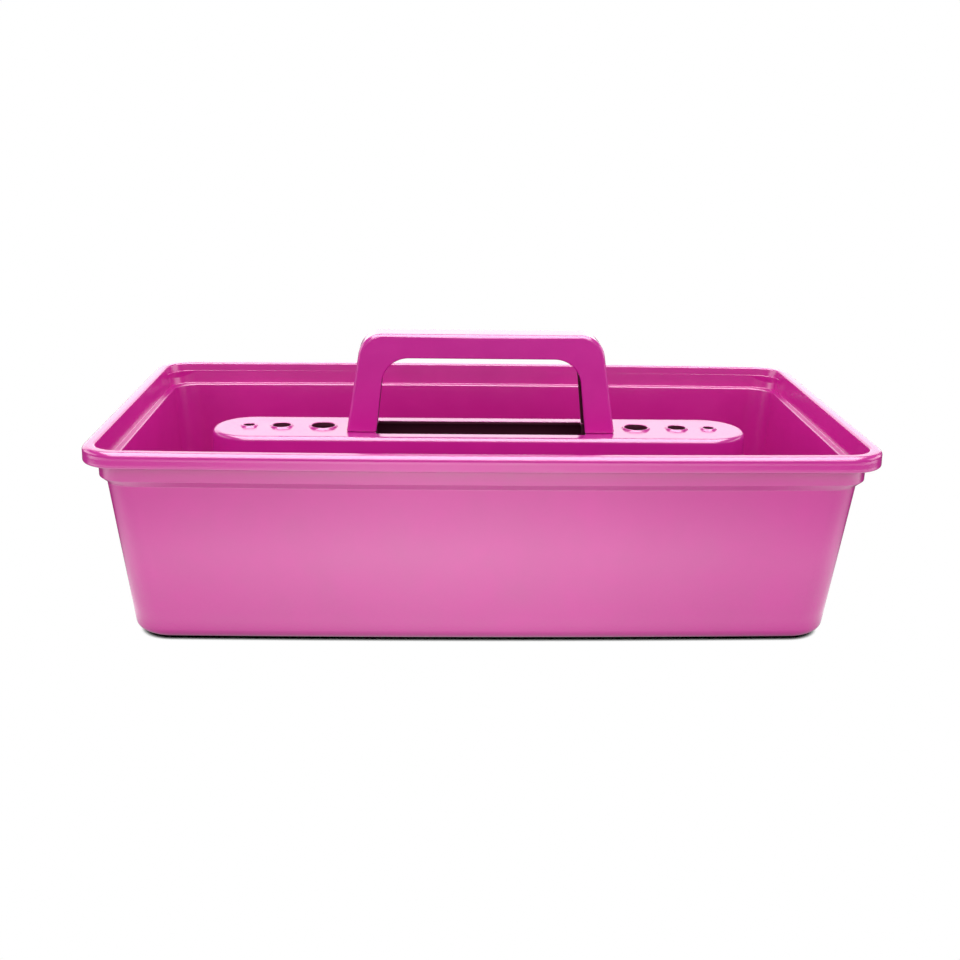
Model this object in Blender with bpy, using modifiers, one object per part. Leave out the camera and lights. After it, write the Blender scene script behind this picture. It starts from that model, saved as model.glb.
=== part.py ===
"""Tool storage caddy: an open moulded tray, a centre tool rack, an arched carry handle and four feet.

Metres, +Z up. The origin is on the table, under the middle of the tray. +X runs along the tray.
"""
import math

import bmesh
import bpy
from mathutils import Vector

# Clearance between neighbouring pieces.
GAP = 0.0003

# Tray: overall plan, heights and wall.
RIM_HEIGHT = 0.1055
LENGTH_OVER_WIDTH = 0.0940      # half length less half width, the same at every level of the tray
LONG_SIDE_CROWN = 0.0030        # outward bow of each long side at the rim
BASE_CROWN = 0.0018             # outward bow of each long side at the table
BASE_HEIGHT = 0.0012            # underside of the floor above the table
FLOOR_THICKNESS = 0.0020
WALL_TAPER = 0.086              # inward run of the walls for each metre down
LEDGE_HEIGHT = RIM_HEIGHT - 0.0123
LEDGE_HALF_LENGTH = 0.1908      # outer edge of the inside ledge
LEDGE_WIDTH = 0.0034
LEDGE_CORNER_RADIUS = 0.0140
RIM_INNER_HALF_LENGTH = 0.1924
RIM_CREST_HALF_LENGTH = 0.1948
RIM_FACE_HALF_LENGTH = 0.1974
RIM_INNER_DROP = 0.0004         # from the crest down to the rim's inner edge
RIM_FACE_DROP = 0.0026          # from the crest down to the lip's upright face
LIP_HALF_LENGTH = 0.1986        # outermost, at the bead along the lip's lower edge
LIP_HEIGHT = 0.0082             # from the crest down to the lip's lower edge
LIP_BEAD_HEIGHT = 0.0020
LIP_BEAD_SLOPE = 0.0012
LIP_THICKNESS = 0.0022
LIP_ROOT_DROP = 0.0044          # from the crest down to the roof of the groove behind the lip
LIP_CORNER_RADIUS = 0.0200
BAND_HALF_LENGTH = 0.1918       # upright outside band between the lip and the wall
BAND_DROP = 0.0163              # from the crest down to the band's lower edge
WALL_TOP_DROP = 0.0198          # from the crest down to the top of the tapered wall
WALL_TOP_HALF_LENGTH = 0.1889
WALL_CORNER_RADIUS = 0.0155
BASE_EDGE_RADIUS = 0.0060
FLOOR_EDGE_RADIUS = 0.0064

# Rack: a round-ended island over the opening in the tray's floor.
DECK_HEIGHT = RIM_HEIGHT - 0.0143
DECK_THICKNESS = 0.0018
RACK_HALF_LENGTH = 0.1498
RACK_HALF_WIDTH = 0.0229
RACK_TAPER = 0.035
RACK_EDGE_RADIUS = 0.0026
RACK_WALL = 0.0020
END_FLAT = 0.0010               # short flat at the tip of each round end

# Collar: the upstand of the tray's floor inside the rack.
COLLAR_HEIGHT = 0.0300
COLLAR_WALL = 0.0020

# Hooks inside the rack's skirt, and the windows in the collar that hold them.
HOOK_POSITIONS = (-0.100, 0.0, 0.100)
HOOK_WIDTH = 0.0100
HOOK_REACH = 0.0016
HOOK_BOTTOM = 0.0205
HOOK_TOP = 0.0235
HOOK_TIP = 0.0010               # upright height of the hook's tip
WINDOW_MARGIN = 0.0010

# Tool holes: distance from the middle, bore diameter and outer diameter of the raised ring.
TOOL_HOLES = (
    (0.0883, 0.0130, 0.0162),
    (0.1115, 0.0100, 0.0132),
    (0.1297, 0.0060, 0.0098),
)
HOLE_RING_HEIGHT = 0.0010
HOLE_RING_SLOPE = 0.0009        # how much smaller the ring's radius is at its top

# Slot in the deck: wide under the grip, narrower at its ends where the handle's tongues pass.
SLOT_HALF_LENGTH = 0.0581
SLOT_HALF_WIDTH = 0.0140
TONGUE_HALF_LENGTH = 0.0720
TONGUE_HALF_DEPTH = 0.0104

# Handle: a channel, open towards the hand, that narrows as it rises.
HANDLE_TOP = RIM_HEIGHT + 0.0402
GRIP_UNDERSIDE = RIM_HEIGHT + 0.0270
HANDLE_FOOT_HALF_LENGTH = 0.0746
HANDLE_OUTER_LEAN = 0.160
HANDLE_INNER_LEAN = 0.112
HANDLE_OUTER_RADIUS = 0.0130
HANDLE_INNER_RADIUS = 0.0150
HANDLE_FOOT_HALF_DEPTH = 0.0118
HANDLE_DEPTH_LEAN = 0.054
HANDLE_WALL = 0.0022
HANDLE_EDGE_RADIUS = 0.0023
TONGUE_LENGTH = 0.0100
TONGUE_WALL = 0.0020
TONGUE_EDGE_RADIUS = 0.0010
BARB_WIDTH = 0.0120
BARB_REACH = 0.0016
BARB_HEIGHT = 0.0050
BARB_TIP = 0.0010               # upright height of the barb's tip

# Feet: round pads set in recesses in the base.
FOOT_X = 0.1600
FOOT_Y = 0.0660
FOOT_RADIUS = 0.0080
FOOT_EDGE = 0.0008
FOOT_RECESS = 0.0007

# Cutters and bosses run this far past the faces that they cut or join.
OVERRUN = 0.0020

# Facets of the round stretches.
CORNER_STEPS = 6
LONG_SIDE_STEPS = 8
EDGE_STEPS = 4
HANDLE_STEPS = 6
HOLE_SEGMENTS = 20
FOOT_SEGMENTS = 24

PINK = (0.62, 0.020, 0.300)
SOFT_PINK = (0.50, 0.030, 0.260)


def clear_scene():
    for item in list(bpy.data.objects):
        bpy.data.objects.remove(item, do_unlink=True)


def new_collection(name):
    collection = bpy.data.collections.new(name)
    bpy.context.scene.collection.children.link(collection)
    return collection


def plastic(name, colour, roughness):
    material = bpy.data.materials.new(name)
    material.use_nodes = True
    shader = material.node_tree.nodes["Principled BSDF"]
    shader.inputs["Base Color"].default_value = (*colour, 1.0)
    shader.inputs["Roughness"].default_value = roughness
    shader.inputs["Metallic"].default_value = 0.0
    return material


def add_object(name, bm, collection, material=None):
    """Turn a bmesh into a named object with its faces pointing out."""
    bmesh.ops.recalc_face_normals(bm, faces=bm.faces)
    mesh = bpy.data.meshes.new(name)
    bm.to_mesh(mesh)
    bm.free()
    item = bpy.data.objects.new(name, mesh)
    collection.objects.link(item)
    if material:
        mesh.materials.append(material)
        mesh.shade_smooth()
        mesh.set_sharp_from_angle(angle=math.radians(35))
    return item


def hide_cutter(item):
    item.hide_render = True
    item.display_type = "WIRE"


def combine(item, tool, operation):
    modifier = item.modifiers.new(operation.lower() + "_" + tool.name, "BOOLEAN")
    modifier.operation = operation
    modifier.object = tool
    modifier.solver = "EXACT"


def box(name, low, high, collection):
    bm = bmesh.new()
    bmesh.ops.create_cube(bm, size=1.0)
    size = Vector(high) - Vector(low)
    bmesh.ops.scale(bm, vec=size, verts=bm.verts)
    bmesh.ops.translate(bm, vec=Vector(low) + size / 2, verts=bm.verts)
    return add_object(name, bm, collection)


def cylinder(name, centre, depth, lower_radius, upper_radius, segments, collection):
    """A round cutter or boss that stands on centre and rises by depth."""
    bm = bmesh.new()
    bmesh.ops.create_cone(bm, cap_ends=True, segments=segments, depth=depth,
                          radius1=lower_radius, radius2=upper_radius)
    bmesh.ops.translate(bm, vec=Vector(centre) + Vector((0, 0, depth / 2)), verts=bm.verts)
    return add_object(name, bm, collection)


def rounded_loop(half_length, half_width, radius, z, crown=0.0):
    """A level rounded rectangle, anticlockwise, whose long sides bow out by crown at the middle."""
    straight = half_length - radius
    points = []
    for quadrant, (side_x, side_y) in enumerate(((1, 1), (-1, 1), (-1, -1), (1, -1))):
        for step in range(CORNER_STEPS + 1):
            angle = math.radians(90) * (quadrant + step / CORNER_STEPS)
            points.append(Vector((side_x * straight + radius * math.cos(angle),
                                  side_y * (half_width - radius) + radius * math.sin(angle), z)))
        if side_x == side_y:
            for step in range(1, LONG_SIDE_STEPS):
                along = 1 - 2 * step / LONG_SIDE_STEPS
                bow = crown * (1 - along ** 2)
                points.append(Vector((side_x * along * straight, side_y * (half_width + bow), z)))
    return points


def round_ended_loop(half_length, half_width, z):
    return rounded_loop(half_length, half_width, half_width - END_FLAT / 2, z)


def quarter_arc(centre, radius, start_degrees):
    """Points of a quarter circle in the section plane, anticlockwise, both ends included."""
    angles = [math.radians(start_degrees + 90 * step / EDGE_STEPS) for step in range(EDGE_STEPS + 1)]
    return [(centre[0] + radius * math.cos(a), centre[1] + radius * math.sin(a)) for a in angles]


def skin(rings, cyclic=False, capped=False):
    """Loft through rings of equal count. A cyclic loft returns to its first ring."""
    bm = bmesh.new()
    loops = [[bm.verts.new(point) for point in ring] for ring in rings]
    pairs = list(zip(loops, loops[1:]))
    if cyclic:
        pairs.append((loops[-1], loops[0]))
    for lower, upper in pairs:
        count = len(lower)
        for i in range(count):
            j = (i + 1) % count
            bm.faces.new((lower[i], lower[j], upper[j], upper[i]))
    if capped:
        bm.faces.new(loops[0])
        bm.faces.new(loops[-1])
    return bm


def tray_loop(half_length, z, radius):
    """A level loop of the tray, whose long sides bow more towards the rim."""
    crown = BASE_CROWN + (LONG_SIDE_CROWN - BASE_CROWN) * (z / RIM_HEIGHT) ** 2
    return rounded_loop(half_length, half_length - LENGTH_OVER_WIDTH, radius, z, crown)


def rack_outline(z, inset):
    """Half length and half width of the rack's outer wall at height z, moved in by inset."""
    flare = RACK_TAPER * (DECK_HEIGHT - z)
    return RACK_HALF_LENGTH + flare - inset, RACK_HALF_WIDTH + flare - inset


def rack_loop(z, inset):
    return round_ended_loop(*rack_outline(z, inset), z)


def tray_inside():
    """Loops from the rim's inner edge down to the foot of the inner wall."""
    floor = BASE_HEIGHT + FLOOR_THICKNESS
    inner = LEDGE_HALF_LENGTH - LEDGE_WIDTH
    bend = floor + FLOOR_EDGE_RADIUS
    foot = inner - WALL_TAPER * (LEDGE_HEIGHT - bend)
    rim_radius = LIP_CORNER_RADIUS - (LIP_HALF_LENGTH - RIM_INNER_HALF_LENGTH)
    loops = [
        tray_loop(RIM_INNER_HALF_LENGTH, RIM_HEIGHT - RIM_INNER_DROP, rim_radius),
        tray_loop(LEDGE_HALF_LENGTH, LEDGE_HEIGHT, LEDGE_CORNER_RADIUS),
        tray_loop(inner, LEDGE_HEIGHT, LEDGE_CORNER_RADIUS),
    ]
    arc = quarter_arc((foot - FLOOR_EDGE_RADIUS, bend), FLOOR_EDGE_RADIUS, -90)
    for half_length, z in reversed(arc):
        loops.append(tray_loop(half_length, z, LEDGE_CORNER_RADIUS - (foot - half_length) / 2))
    return loops


def collar():
    """Loops of the upstand around the opening in the floor, from the floor round to the underside."""
    floor = BASE_HEIGHT + FLOOR_THICKNESS
    outer = RACK_WALL + GAP
    inner = outer + COLLAR_WALL
    return [
        rack_loop(floor, outer),
        rack_loop(COLLAR_HEIGHT, outer),
        rack_loop(COLLAR_HEIGHT, inner),
        rack_loop(BASE_HEIGHT, inner),
    ]


def tray_outside():
    """Loops from the underside up the outer wall, round the lip and over the rim's crest."""
    bend = BASE_HEIGHT + BASE_EDGE_RADIUS
    wall_top = RIM_HEIGHT - WALL_TOP_DROP
    foot = WALL_TOP_HALF_LENGTH - WALL_TAPER * (wall_top - bend)
    arc = quarter_arc((foot - BASE_EDGE_RADIUS, bend), BASE_EDGE_RADIUS, -90)
    loops = [tray_loop(half, z, WALL_CORNER_RADIUS - (foot - half) / 2) for half, z in arc]

    lip_bottom = RIM_HEIGHT - LIP_HEIGHT
    groove_roof = RIM_HEIGHT - LIP_ROOT_DROP
    lip_inner = LIP_HALF_LENGTH - LIP_THICKNESS
    lip = (
        (WALL_TOP_HALF_LENGTH, wall_top),
        (BAND_HALF_LENGTH, RIM_HEIGHT - BAND_DROP),
        (BAND_HALF_LENGTH, groove_roof),
        (RIM_FACE_HALF_LENGTH - LIP_THICKNESS, groove_roof),
        (lip_inner, lip_bottom),
        (LIP_HALF_LENGTH, lip_bottom),
        (LIP_HALF_LENGTH, lip_bottom + LIP_BEAD_HEIGHT),
        (RIM_FACE_HALF_LENGTH, lip_bottom + LIP_BEAD_HEIGHT + LIP_BEAD_SLOPE),
        (RIM_FACE_HALF_LENGTH, RIM_HEIGHT - RIM_FACE_DROP),
        ((RIM_FACE_HALF_LENGTH * 2 + RIM_CREST_HALF_LENGTH) / 3, RIM_HEIGHT - RIM_FACE_DROP / 4),
        (RIM_CREST_HALF_LENGTH, RIM_HEIGHT),
    )
    for half, z in lip:
        outer_radius = LIP_CORNER_RADIUS - (LIP_HALF_LENGTH - half)
        loops.append(tray_loop(half, z, max(outer_radius, WALL_CORNER_RADIUS)))
    return loops


def make_tray(parts, cutters):
    rings = tray_inside() + collar() + tray_outside()
    tray = add_object("tray_body", skin(rings, cyclic=True), parts, plastic("tray_body", PINK, 0.28))
    for x in HOOK_POSITIONS:
        half = HOOK_WIDTH / 2 + WINDOW_MARGIN
        reach = RACK_HALF_WIDTH + OVERRUN
        window = box("collar_window", (x - half, -reach, HOOK_BOTTOM - WINDOW_MARGIN),
                     (x + half, reach, HOOK_TOP + WINDOW_MARGIN / 2), cutters)
        hide_cutter(window)
        combine(tray, window, "DIFFERENCE")
    for x, y in foot_positions().values():
        recess = cylinder("foot_recess", (x, y, 0), BASE_HEIGHT + FOOT_RECESS,
                          FOOT_RADIUS + GAP, FOOT_RADIUS + GAP, FOOT_SEGMENTS, cutters)
        hide_cutter(recess)
        combine(tray, recess, "DIFFERENCE")


def rack_hook(name, x, side, cutters):
    """A wedge on the skirt's inner face: flat on top, sloping away below."""
    middle = (HOOK_BOTTOM + HOOK_TOP) / 2
    face = rack_outline(middle, RACK_WALL)[1]
    bm = bmesh.new()
    outline = ((face + RACK_WALL / 2, HOOK_BOTTOM), (face + RACK_WALL / 2, HOOK_TOP),
               (face - HOOK_REACH, HOOK_TOP), (face - HOOK_REACH, HOOK_TOP - HOOK_TIP))
    profile = [bm.verts.new((x - HOOK_WIDTH / 2, side * y, z)) for y, z in outline]
    extruded = bmesh.ops.extrude_face_region(bm, geom=[bm.faces.new(profile)])
    moved = [item for item in extruded["geom"] if isinstance(item, bmesh.types.BMVert)]
    bmesh.ops.translate(bm, vec=(HOOK_WIDTH, 0, 0), verts=moved)
    return add_object(name, bm, cutters)


def make_rack(parts, cutters):
    bottom = BASE_HEIGHT + FLOOR_THICKNESS + GAP
    rings = []
    for inset, z in quarter_arc((RACK_EDGE_RADIUS, DECK_HEIGHT - RACK_EDGE_RADIUS), RACK_EDGE_RADIUS, 90):
        rings.append(rack_loop(z, inset))
    rings.append(rack_loop(bottom, 0))
    rings.append(rack_loop(bottom, RACK_WALL))
    rings.append(rack_loop(DECK_HEIGHT - RACK_EDGE_RADIUS, RACK_WALL))
    rings.append(rack_loop(DECK_HEIGHT - DECK_THICKNESS, RACK_EDGE_RADIUS))
    rack = add_object("tool_rack", skin(rings, capped=True), parts, plastic("tool_rack", PINK, 0.28))

    for x in HOOK_POSITIONS:
        for side in (-1, 1):
            hook = rack_hook("rack_hook", x, side, cutters)
            hide_cutter(hook)
            combine(rack, hook, "UNION")

    slot_bottom = DECK_HEIGHT - DECK_THICKNESS - OVERRUN
    slot_top = DECK_HEIGHT + OVERRUN
    for half_length, half_width in ((SLOT_HALF_LENGTH, SLOT_HALF_WIDTH),
                                    (TONGUE_HALF_LENGTH + GAP, TONGUE_HALF_DEPTH + GAP)):
        slot = box("deck_slot", (-half_length, -half_width, slot_bottom),
                   (half_length, half_width, slot_top), cutters)
        hide_cutter(slot)
        combine(rack, slot, "DIFFERENCE")

    for offset, bore, ring in TOOL_HOLES:
        for x in (-offset, offset):
            boss = cylinder("hole_ring", (x, 0, DECK_HEIGHT - DECK_THICKNESS / 2),
                            DECK_THICKNESS / 2 + HOLE_RING_HEIGHT,
                            ring / 2, ring / 2 - HOLE_RING_SLOPE, HOLE_SEGMENTS, cutters)
            hole = cylinder("tool_hole", (x, 0, slot_bottom), slot_top - slot_bottom,
                            bore / 2, bore / 2, HOLE_SEGMENTS, cutters)
            hide_cutter(boss)
            hide_cutter(hole)
            combine(rack, boss, "UNION")
            combine(rack, hole, "DIFFERENCE")


def fillet(corner, toward_start, toward_end, radius, steps):
    """Points of the arc that rounds a corner between two straight directions."""
    start = Vector(toward_start).normalized()
    end = Vector(toward_end).normalized()
    half_angle = start.angle(end) / 2
    centre = Vector(corner) + (start + end).normalized() * radius / math.sin(half_angle)
    tangent = radius / math.tan(half_angle)
    first = Vector(corner) + start * tangent - centre
    sweep = (Vector(corner) + end * tangent - centre).angle_signed(first)
    points = []
    for step in range(steps + 1):
        turn = sweep * step / steps
        points.append(centre + Vector((first.x * math.cos(turn) - first.y * math.sin(turn),
                                       first.x * math.sin(turn) + first.y * math.cos(turn))))
    return points


def handle_stations():
    """Pairs of outer and inner points, from the right foot over the grip to the left foot."""
    def outer_x(z):
        return HANDLE_FOOT_HALF_LENGTH - HANDLE_OUTER_LEAN * (z - DECK_HEIGHT)

    def inner_x(z):
        return SLOT_HALF_LENGTH - HANDLE_INNER_LEAN * (z - DECK_HEIGHT)

    outer = fillet((outer_x(HANDLE_TOP), HANDLE_TOP), (HANDLE_OUTER_LEAN, -1), (-1, 0),
                   HANDLE_OUTER_RADIUS, HANDLE_STEPS)
    inner = fillet((inner_x(GRIP_UNDERSIDE), GRIP_UNDERSIDE), (HANDLE_INNER_LEAN, -1), (-1, 0),
                   HANDLE_INNER_RADIUS, HANDLE_STEPS)
    foot = DECK_HEIGHT + GAP
    right = [(Vector((outer_x(foot), foot)), Vector((inner_x(foot), foot)))]
    right += list(zip(outer, inner))
    mirror = Vector((-1, 1))
    return right + [(a * mirror, b * mirror) for a, b in reversed(right)]


def channel_section(outer, inner, half_depth, wall, edge):
    """Closed loop of a channel that is open at its inner side and rounded at its outer edges."""
    across = outer - inner
    width = across.length
    nick = edge * (1 - math.sqrt(0.5))
    front = ((0, 0), (width - edge, 0), (width - nick, nick), (width, edge))
    hollow = ((width - wall, wall), (0, wall))
    loop = []
    for side, points in ((-1, front), (1, front[::-1]), (1, hollow[::-1]), (-1, hollow)):
        for along, inset in points:
            place = inner + across * along / width
            loop.append(Vector((place.x, side * (half_depth(place.y) - inset), place.y)))
    return loop


def tongue_loop(side, z):
    """Section of the narrower tongue that passes through the deck."""
    return channel_section(Vector((side * TONGUE_HALF_LENGTH, z)), Vector((side * (SLOT_HALF_LENGTH + GAP), z)),
                           lambda height: TONGUE_HALF_DEPTH, TONGUE_WALL, TONGUE_EDGE_RADIUS)


def barb(name, side, cutters):
    """A wedge on the tongue's outer face that catches under the deck."""
    top = DECK_HEIGHT - DECK_THICKNESS - GAP
    face = TONGUE_HALF_LENGTH
    outline = ((face - TONGUE_WALL / 2, top), (face + BARB_REACH, top), (face + BARB_REACH, top - BARB_TIP),
               (face, top - BARB_HEIGHT), (face - TONGUE_WALL / 2, top - BARB_HEIGHT))
    bm = bmesh.new()
    profile = [bm.verts.new((side * x, -BARB_WIDTH / 2, z)) for x, z in outline]
    extruded = bmesh.ops.extrude_face_region(bm, geom=[bm.faces.new(profile)])
    moved = [item for item in extruded["geom"] if isinstance(item, bmesh.types.BMVert)]
    bmesh.ops.translate(bm, vec=(0, BARB_WIDTH, 0), verts=moved)
    return add_object(name, bm, cutters)


def make_handle(parts, cutters):
    def half_depth(z):
        return HANDLE_FOOT_HALF_DEPTH - HANDLE_DEPTH_LEAN * (z - DECK_HEIGHT)

    shoulder = DECK_HEIGHT + GAP
    tip = DECK_HEIGHT - TONGUE_LENGTH
    arch = [channel_section(outer, inner, half_depth, HANDLE_WALL, HANDLE_EDGE_RADIUS)
            for outer, inner in handle_stations()]
    rings = [tongue_loop(1, tip), tongue_loop(1, shoulder), *arch, tongue_loop(-1, shoulder), tongue_loop(-1, tip)]
    handle = add_object("carry_handle", skin(rings, capped=True), parts, plastic("carry_handle", PINK, 0.28))
    for side in (-1, 1):
        wedge = barb("handle_barb", side, cutters)
        hide_cutter(wedge)
        combine(handle, wedge, "UNION")


def foot_positions():
    return {
        "foot_front_left": (-FOOT_X, -FOOT_Y),
        "foot_front_right": (FOOT_X, -FOOT_Y),
        "foot_back_left": (-FOOT_X, FOOT_Y),
        "foot_back_right": (FOOT_X, FOOT_Y),
    }


def make_feet(parts):
    """Turned pads, each from the same half section."""
    top = BASE_HEIGHT + FOOT_RECESS - GAP
    profile = ((0, top), (FOOT_RADIUS, top), (FOOT_RADIUS, FOOT_EDGE), (FOOT_RADIUS - FOOT_EDGE, 0), (0, 0))
    for name, (x, y) in foot_positions().items():
        bm = bmesh.new()
        points = [bm.verts.new((radius, 0, z)) for radius, z in profile]
        for upper, lower in zip(points, points[1:]):
            bm.edges.new((upper, lower))
        foot = add_object(name, bm, parts, plastic(name, SOFT_PINK, 0.55))
        foot.location = (x, y, 0)
        turn = foot.modifiers.new("turn", "SCREW")
        turn.steps = FOOT_SEGMENTS
        turn.render_steps = FOOT_SEGMENTS
        turn.use_merge_vertices = True
        turn.merge_threshold = 0.00001


def build():
    clear_scene()
    parts = new_collection("tool_storage_caddy")
    cutters = new_collection("cutters")
    make_tray(parts, cutters)
    make_rack(parts, cutters)
    make_handle(parts, cutters)
    make_feet(parts)


build()
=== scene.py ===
"""Looks of the tool storage caddy: finely rounded moulded pieces, plastic materials, studio and camera.

Metres, +Z up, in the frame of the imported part. +X runs along the tray.
"""
import math

import bmesh
import bpy
from mathutils import Matrix, Vector


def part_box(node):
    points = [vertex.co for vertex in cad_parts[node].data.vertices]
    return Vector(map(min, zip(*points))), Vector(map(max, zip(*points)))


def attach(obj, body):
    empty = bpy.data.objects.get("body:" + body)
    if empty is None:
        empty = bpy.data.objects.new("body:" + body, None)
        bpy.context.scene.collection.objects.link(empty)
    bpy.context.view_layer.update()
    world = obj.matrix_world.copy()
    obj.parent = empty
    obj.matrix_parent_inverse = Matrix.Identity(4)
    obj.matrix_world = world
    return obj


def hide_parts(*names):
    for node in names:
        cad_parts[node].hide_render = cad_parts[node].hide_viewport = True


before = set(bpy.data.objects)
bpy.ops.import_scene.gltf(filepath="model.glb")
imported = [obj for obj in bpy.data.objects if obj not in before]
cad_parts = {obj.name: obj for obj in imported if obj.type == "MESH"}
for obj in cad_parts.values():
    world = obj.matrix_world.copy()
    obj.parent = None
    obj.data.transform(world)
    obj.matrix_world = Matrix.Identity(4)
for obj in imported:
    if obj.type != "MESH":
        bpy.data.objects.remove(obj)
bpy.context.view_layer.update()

tray_top_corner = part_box("tray_body")[1]
handle_top_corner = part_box("carry_handle")[1]

# Clearance between neighbouring pieces.
GAP = 0.0003

# Tray, as in the CAD, apart from the four sizes marked here as finer or fuller.
RIM_HEIGHT = tray_top_corner.z
LENGTH_OVER_WIDTH = 0.0940      # half length less half width, the same at every level of the tray
LONG_SIDE_CROWN = 0.0030        # outward bow of each long side at the rim
BASE_CROWN = 0.0018             # outward bow of each long side at the table
BASE_HEIGHT = 0.0012
FLOOR_HEIGHT = BASE_HEIGHT + 0.0020
WALL_TAPER = 0.086              # inward run of the walls for each metre down
LEDGE_HEIGHT = RIM_HEIGHT - 0.0123
LEDGE_HALF_LENGTH = 0.1908
LEDGE_WIDTH = 0.0034
LEDGE_CORNER_RADIUS = 0.0140
RIM_INNER_HALF_LENGTH = 0.1924
RIM_INNER_HEIGHT = RIM_HEIGHT - 0.0004
RIM_CREST_HALF_LENGTH = 0.1934  # finer: the crest starts nearer the rim's inner edge
RIM_FACE_HALF_LENGTH = 0.1985   # fuller, so that the bead is faint
RIM_FACE_RADIUS = 0.0026
LIP_HALF_LENGTH = tray_top_corner.x
LIP_BOTTOM = RIM_HEIGHT - 0.0082
LIP_BEAD_HEIGHT = 0.0020
LIP_BEAD_SLOPE = 0.0024         # finer: the bead blends over a longer run
LIP_THICKNESS = 0.0022
GROOVE_ROOF = RIM_HEIGHT - 0.0044
LIP_CORNER_RADIUS = 0.0200
BAND_HALF_LENGTH = 0.1918
BAND_BOTTOM = RIM_HEIGHT - 0.0163
WALL_TOP = RIM_HEIGHT - 0.0198
WALL_TOP_HALF_LENGTH = 0.1889
WALL_CORNER_RADIUS = 0.0155
BASE_CORNER_RADIUS = 0.0200     # fuller than the wall's corners
BASE_EDGE_RADIUS = 0.0060
FLOOR_EDGE_RADIUS = 0.0064

# Rack and the collar that it fits over, as in the CAD.
DECK_HEIGHT = RIM_HEIGHT - 0.0143
DECK_UNDERSIDE = DECK_HEIGHT - 0.0018
RACK_BOTTOM = FLOOR_HEIGHT + GAP
RACK_HALF_LENGTH = 0.1498
RACK_HALF_WIDTH = 0.0229
RACK_TAPER = 0.035
RACK_EDGE_RADIUS = 0.0026
RACK_WALL = 0.0020
END_FLAT = 0.0010
COLLAR_HEIGHT = 0.0300
COLLAR_WALL = 0.0020
HOOK_POSITIONS = (-0.100, 0.0, 0.100)  # along X, on each long side
HOOK_WIDTH = 0.0100
HOOK_REACH = 0.0016
HOOK_BOTTOM = 0.0205
HOOK_TOP = 0.0235
HOOK_TIP = 0.0010
WINDOW_MARGIN = 0.0010

# Tool holes: distance from the middle, bore diameter and outer diameter of the raised ring.
TOOL_HOLES = (
    (0.0883, 0.0130, 0.0162),
    (0.1115, 0.0100, 0.0132),
    (0.1297, 0.0060, 0.0098),
)
HOLE_RING_HEIGHT = 0.0010
HOLE_RING_SLOPE = 0.0009

# Slot in the deck and the tongues that pass through its narrow ends.
SLOT_HALF_LENGTH = 0.0581
SLOT_HALF_WIDTH = 0.0140
TONGUE_HALF_LENGTH = 0.0720
TONGUE_HALF_DEPTH = 0.0104
SLOT_CORNER_RADIUS = 0.0012

# Handle, as in the CAD.
HANDLE_TOP = handle_top_corner.z
GRIP_UNDERSIDE = RIM_HEIGHT + 0.0270
HANDLE_FOOT_HALF_LENGTH = 0.0746
HANDLE_OUTER_LEAN = 0.160
HANDLE_INNER_LEAN = 0.112
HANDLE_OUTER_RADIUS = 0.0130
HANDLE_INNER_RADIUS = 0.0150
HANDLE_FOOT_HALF_DEPTH = 0.0118
HANDLE_DEPTH_LEAN = 0.054
HANDLE_WALL = 0.0022
HANDLE_EDGE_RADIUS = 0.0023
TONGUE_LENGTH = 0.0100
TONGUE_WALL = 0.0020
TONGUE_EDGE_RADIUS = 0.0010
BARB_WIDTH = 0.0120
BARB_REACH = 0.0016
BARB_HEIGHT = 0.0050
BARB_TIP = 0.0010

# Feet, as in the CAD.
FEET = ("foot_front_left", "foot_front_right", "foot_back_left", "foot_back_right")
FOOT_RADIUS = 0.0080
FOOT_EDGE = 0.0008
RECESS_ROOF = BASE_HEIGHT + 0.0007

# Small moulded radii.
FINE_RADIUS = 0.0004
EDGE_RADIUS = 0.0007
LEDGE_RADIUS = 0.0008
LIP_EDGE_RADIUS = 0.0014
BEAD_RADIUS = 0.0015            # on the lip's bead, and where the bead runs into the lip's face
BEAD_BLEND_RADIUS = 0.0024
WALL_TOP_RADIUS = 0.0008
CREST_RADIUS = 0.0020
LIP_SHARE = 0.42                # radius of the channel's lips, as a share of its wall
FLAT_MARGIN = 0.0020            # flat strip kept beside a rounding, so that its shading stays clean

# Facets.
CORNER_STEPS = 16
LONG_SIDE_STEPS = 36
SHORT_SIDE_STEPS = 14
HANDLE_STEPS = 22
HOLE_SEGMENTS = 48
FOOT_SEGMENTS = 64
LONGEST_SPAN = 0.0080           # between rings of a loft
HANDLE_SPAN = 0.0050            # between sections of the handle
SLOT_STEPS = 6                  # of an arc on the slot or on the handle's section
SHARP_ANGLE = math.radians(38)  # between faces that aren't shaded smooth

# Plastics: colour, and roughness with specular level.
PINK = (0.56, 0.0125, 0.283)
RACK_PINK = (0.54, 0.0125, 0.295)
SOFT_PINK = (0.42, 0.020, 0.200)
# Painted shade: a dark copy of the pink for the rack's hollow, its slot walls and the handle's channel, where
# shadow falls.
PAINTED_SHADE_PINK = (0.075, 0.0010, 0.024)
GLOSS = (0.20, 0.65)
DULL = (0.50, 0.25)
PLASTIC_IOR = 1.50
TINT_VARIATION = 0.06           # share by which the tint is lighter and darker
GLOSS_VARIATION = 0.03          # of roughness, up and down

# Noise scales of the plastic and the rubber, in cells per metre.
CLOUD_SCALE = 9.0
MOTTLE_SCALE = 60.0
PEEL_SCALE = 260.0
GRAIN_SCALE = 1100.0
DUST_SCALE = 220.0
RUBBER_GRAIN_SCALE = 1600.0

# Bump heights.
CLOUD_HEIGHT = 0.00006
PEEL_HEIGHT = 0.000008
RUBBER_GRAIN_HEIGHT = 0.00002

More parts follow.
